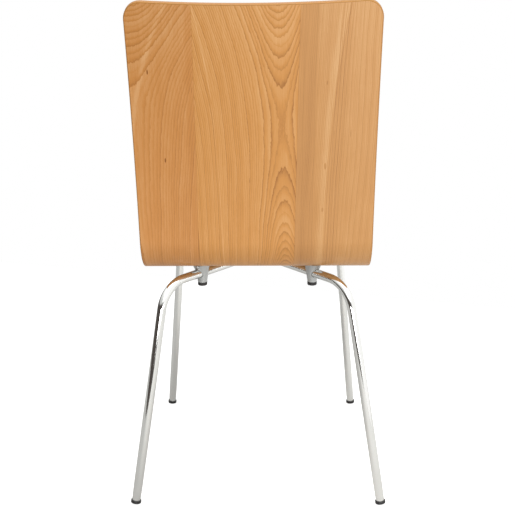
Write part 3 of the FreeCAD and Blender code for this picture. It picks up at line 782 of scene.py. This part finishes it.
rubber = Finish("moulded_rubber")
rubber_x, rubber_y, rubber_z = rubber.place()
bloom = rubber.noise(rubber_x / 3, rubber_y / 3, rubber_z / 3, 3.0)
grain = rubber.noise(rubber_x / 0.25, rubber_y / 0.25, rubber_z / 0.25, 2.0)
rubber.paint(
    Base_Color=rubber.mix(
        bloom * 0.5 + 0.5, (0.010, 0.009, 0.009, 1), (0.026, 0.022, 0.021, 1)
    ),
    Roughness=bloom * 0.06 + 0.58,
    Normal=rubber.bump(grain, 0.00004, 0.5),
)
shoulder, base = -BRACKET_DEPTH, -BRACKET_DEPTH - BUFFER_HEIGHT
rim_radius, rim_height = BUFFER_RADIUS - BUFFER_ROUNDING, base + BUFFER_ROUNDING
top_radius, top_height = BUFFER_RADIUS - SHOULDER_ROUNDING, shoulder - SHOULDER_ROUNDING
buffer_profile = np.concatenate(
    [
        [(0, base), (FACE_RING, base)],
        round_corner(rim_radius, rim_height, BUFFER_ROUNDING, -90, 0, 7),
        round_corner(top_radius, top_height, SHOULDER_ROUNDING, 0, 90, 4),
        [(SPIGOT_RADIUS, shoulder), (SPIGOT_RADIUS, shoulder + SPIGOT_LENGTH)],
        [(0, shoulder + SPIGOT_LENGTH)],
    ]
)
for end, side in STATIONS:
    corner, outward, reach = bracket_spots[end, side]
    spot = corner - outward * (reach + BRACKET_FROM_BEND)
    buffer = surface(
        f"{end}_{side}_rubber_buffer",
        [patch(lathe(spot, seat_up, buffer_profile), (False, True))],
        [rubber.material],
    )
    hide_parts(f"{end}_{side}_buffer")
    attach(buffer, "root")

# ============================================================ glides
# A hard plastic glide is pressed into the end of each leg: a plain stem inside the tube
# and a domed head outside it, a little wider than the tube and worn flat where it stands.
GLIDE_LIP = 0.00125
GLIDE_DOME = 0.024
GLIDE_WEAR = 0.0003
GLIDE_STEM = 0.015
GLIDE_EDGE_ROUNDING = 0.0006
GLIDE_TOP_ROUNDING = 0.0005
STEM_CLEARANCE = 0.00005
DOME_RINGS = 12

plastic = Finish("moulded_plastic")
plastic_x, plastic_y, plastic_z = plastic.place()
scuff = plastic.noise(plastic_x / 2.5, plastic_y / 2.5, plastic_z / 1.2, 3.0)
worn = plastic_z.ramp(2.2, 0.4)
plastic.paint(
    Base_Color=plastic.mix(
        worn * (scuff * 0.5 + 0.5), (0.012, 0.011, 0.011, 1), (0.055, 0.052, 0.05, 1)
    ),
    Roughness=scuff * 0.05 + worn * 0.2 + 0.36,
    Normal=plastic.bump(scuff, 0.00005, 0.4),
)
stem_radius = TUBE_RADIUS - TUBE_WALL - STEM_CLEARANCE
edge_radius = TUBE_RADIUS + GLIDE_LIP - GLIDE_EDGE_ROUNDING
top_radius = TUBE_RADIUS + GLIDE_LIP - GLIDE_TOP_ROUNDING
top_height = GLIDE_HEIGHT - GLIDE_TOP_ROUNDING
dome_angle = np.linspace(0, math.asin(edge_radius / GLIDE_DOME), DOME_RINGS)
for end, side in STATIONS:
    foot, upward = leg_ends[end, side]
    dome_centre = (GLIDE_DOME - GLIDE_WEAR) / upward[2]
    dome_height = dome_centre - GLIDE_DOME * np.cos(dome_angle)
    edge_height = dome_height[-1] + GLIDE_EDGE_ROUNDING
    glide_profile = np.concatenate(
        [
            np.stack([GLIDE_DOME * np.sin(dome_angle), dome_height], 1),
            round_corner(edge_radius, edge_height, GLIDE_EDGE_ROUNDING, -60, 0, 4),
            round_corner(top_radius, top_height, GLIDE_TOP_ROUNDING, 0, 90, 4),
            [(stem_radius, GLIDE_HEIGHT), (stem_radius, GLIDE_HEIGHT + GLIDE_STEM)],
            [(0, GLIDE_HEIGHT + GLIDE_STEM)],
        ]
    )
    rings = lathe(foot, upward, glide_profile)
    rings[..., 2] = np.maximum(rings[..., 2], 0)
    glide = surface(
        f"{end}_{side}_leg_glide", [patch(rings, (False, True))], [plastic.material]
    )
    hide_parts(f"{end}_{side}_glide")
    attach(glide, "root")

# ============================================================ floor, light and camera
# The chair stands on a pale sheet, turned a little to the chair, in a white studio. To the
# camera the sheet glows an even white. To all other rays it glows faintly, painted light that
# lifts the shade under the chair, and it is painted darker on the left and lighter on the
# right, painted shade and light that the chrome reflects.
# One soft box hangs overhead and two small ones stand behind the chair, one of them low.
# The wall on the sitter's right is the brighter one, and low on the left the room is dim.
FLOOR_REACH = 1.1
FLOOR_LEFT = 1.8
FLOOR_DROP = 0.0003
FLOOR_TURN = math.radians(-18)
FLOOR_FADE_MM = 300
FLOOR_CLOUD_MM = 400
FLOOR_STEPS = 13

floor_finish = Finish("pale_floor", Roughness=0.9, Specular_IOR_Level=0.1)
floor_x, floor_y, _ = floor_finish.place()
turn_cos, turn_sin = math.cos(FLOOR_TURN), math.sin(FLOOR_TURN)
sheet_x = floor_x * turn_cos + floor_y * turn_sin
sheet_y = floor_y * turn_cos - floor_x * turn_sin
floor_tone = floor_finish.noise(sheet_x / FLOOR_CLOUD_MM, sheet_y / FLOOR_CLOUD_MM, 1.0, 2.0)
# Painted light: camera rays see the floor glow an even white, and all other rays see a faint
# glow that lifts the shade under the chair.
seen = floor_finish.node("ShaderNodeLightPath", {}, {}, 0)
# Painted shade and light: the floor's colour runs from darker on the left to lighter on the
# right, with a faint random tone over it.
floor_painted_shade_and_tone = sheet_x.ramp(-FLOOR_FADE_MM, FLOOR_FADE_MM) + floor_tone * 0.03
floor_finish.paint(
    Base_Color=floor_finish.mix(floor_painted_shade_and_tone, (0.31, 0.31, 0.305, 1), (0.50, 0.50, 0.49, 1)),
    Emission_Color=floor_finish.mix(seen, (0.09, 0.09, 0.088, 1), (0.85, 0.85, 0.85, 1)),
    Emission_Strength=1.0,
)
across = np.linspace(-FLOOR_LEFT, FLOOR_REACH, FLOOR_STEPS)[None]
along = np.linspace(-FLOOR_REACH, FLOOR_REACH, FLOOR_STEPS)[:, None]
floor_grid = np.stack(
    [
        across * turn_cos - along * turn_sin,
        across * turn_sin + along * turn_cos,
        np.full((FLOOR_STEPS, FLOOR_STEPS), -FLOOR_DROP),
    ],
    -1,
)
floor = surface("floor", [patch(floor_grid)], [floor_finish.material])
if floor.data.polygons[0].normal.z < 0:
    floor.data.flip_normals()

world = bpy.data.worlds.new("studio")
bpy.context.scene.world = world
world.use_nodes = True


class Studio(Finish):
    """The world's light, put together with a material's node methods."""

    def __init__(self, tree):
        self.tree = tree
        self.surface = tree.nodes["Background"]


studio = Studio(world.node_tree)
direction = studio.node("ShaderNodeTexCoord", {}, {}, 0)
toward = [studio.node("ShaderNodeSeparateXYZ", {}, {0: direction}, i) for i in range(3)]
walls = studio.mix(toward[0].ramp(-0.5, 0.3), (0.68, 0.69, 0.68, 1), (1.15, 1.15, 1.15, 1))
room = studio.mix(toward[2].ramp(0.35, 0.8), walls, (1.3, 1.3, 1.3, 1))
dim = toward[2].ramp(0.28, 0.14) * toward[0].ramp(0.35, 0.0)
room = studio.mix(dim, room, (0.085, 0.074, 0.068, 1))
shown = studio.mix(studio.node("ShaderNodeLightPath", {}, {}, 0), room, (1.0, 1.0, 1.0, 1))
studio.paint(Color=shown, Strength=1.0)


def soft_box(name, place, aim, width, height, power):
    """A rectangular area light at place, turned to face aim."""
    light = bpy.data.lights.new(name, "AREA")
    light.shape, light.size, light.size_y, light.energy = "RECTANGLE", width, height, power
    lamp = bpy.data.objects.new(name, light)
    bpy.context.scene.collection.objects.link(lamp)
    lamp.location = place
    lamp.rotation_euler = (Vector(aim) - Vector(place)).to_track_quat("-Z", "Y").to_euler()


soft_box("overhead_box", (0.4, -0.6, 3.2), (0, 0, 0.5), 3.0, 3.0, 60)
soft_box("rear_box", (0.0, -1.7, 1.35), (0, -0.2, 0.85), 1.4, 0.9, 5.5)
soft_box("low_box", (0.2, -2.3, 0.12), (0, -0.1, 0.45), 2.0, 0.24, 13)

CAMERA_PLACE = (0.0309, weld[1] - 1.6457, 0.835)
CAMERA_YAW = -0.0198
CAMERA_PITCH = 0.2598
CAMERA_ROLL = -0.0083
CAMERA_LENS = 60.9
CAMERA_SENSOR = 36.0
camera = bpy.data.cameras.new("camera")
camera.lens = CAMERA_LENS
camera.sensor_width = CAMERA_SENSOR
camera_object = bpy.data.objects.new("camera", camera)
bpy.context.scene.collection.objects.link(camera_object)
ahead = Vector(
    (
        math.sin(CAMERA_YAW) * math.cos(CAMERA_PITCH),
        math.cos(CAMERA_YAW) * math.cos(CAMERA_PITCH),
        -math.sin(CAMERA_PITCH),
    )
)
level_right = Vector((math.cos(CAMERA_YAW), -math.sin(CAMERA_YAW), 0))
level_up = level_right.cross(ahead)
right = level_right * math.cos(CAMERA_ROLL) + level_up * math.sin(CAMERA_ROLL)
above = right.cross(ahead)
turn = Matrix((right, above, -ahead)).transposed().to_4x4()
camera_object.matrix_world = Matrix.Translation(CAMERA_PLACE) @ turn
bpy.context.scene.camera = camera_object
bpy.context.scene.view_settings.view_transform = "Standard"

bpy.context.view_layer.update()
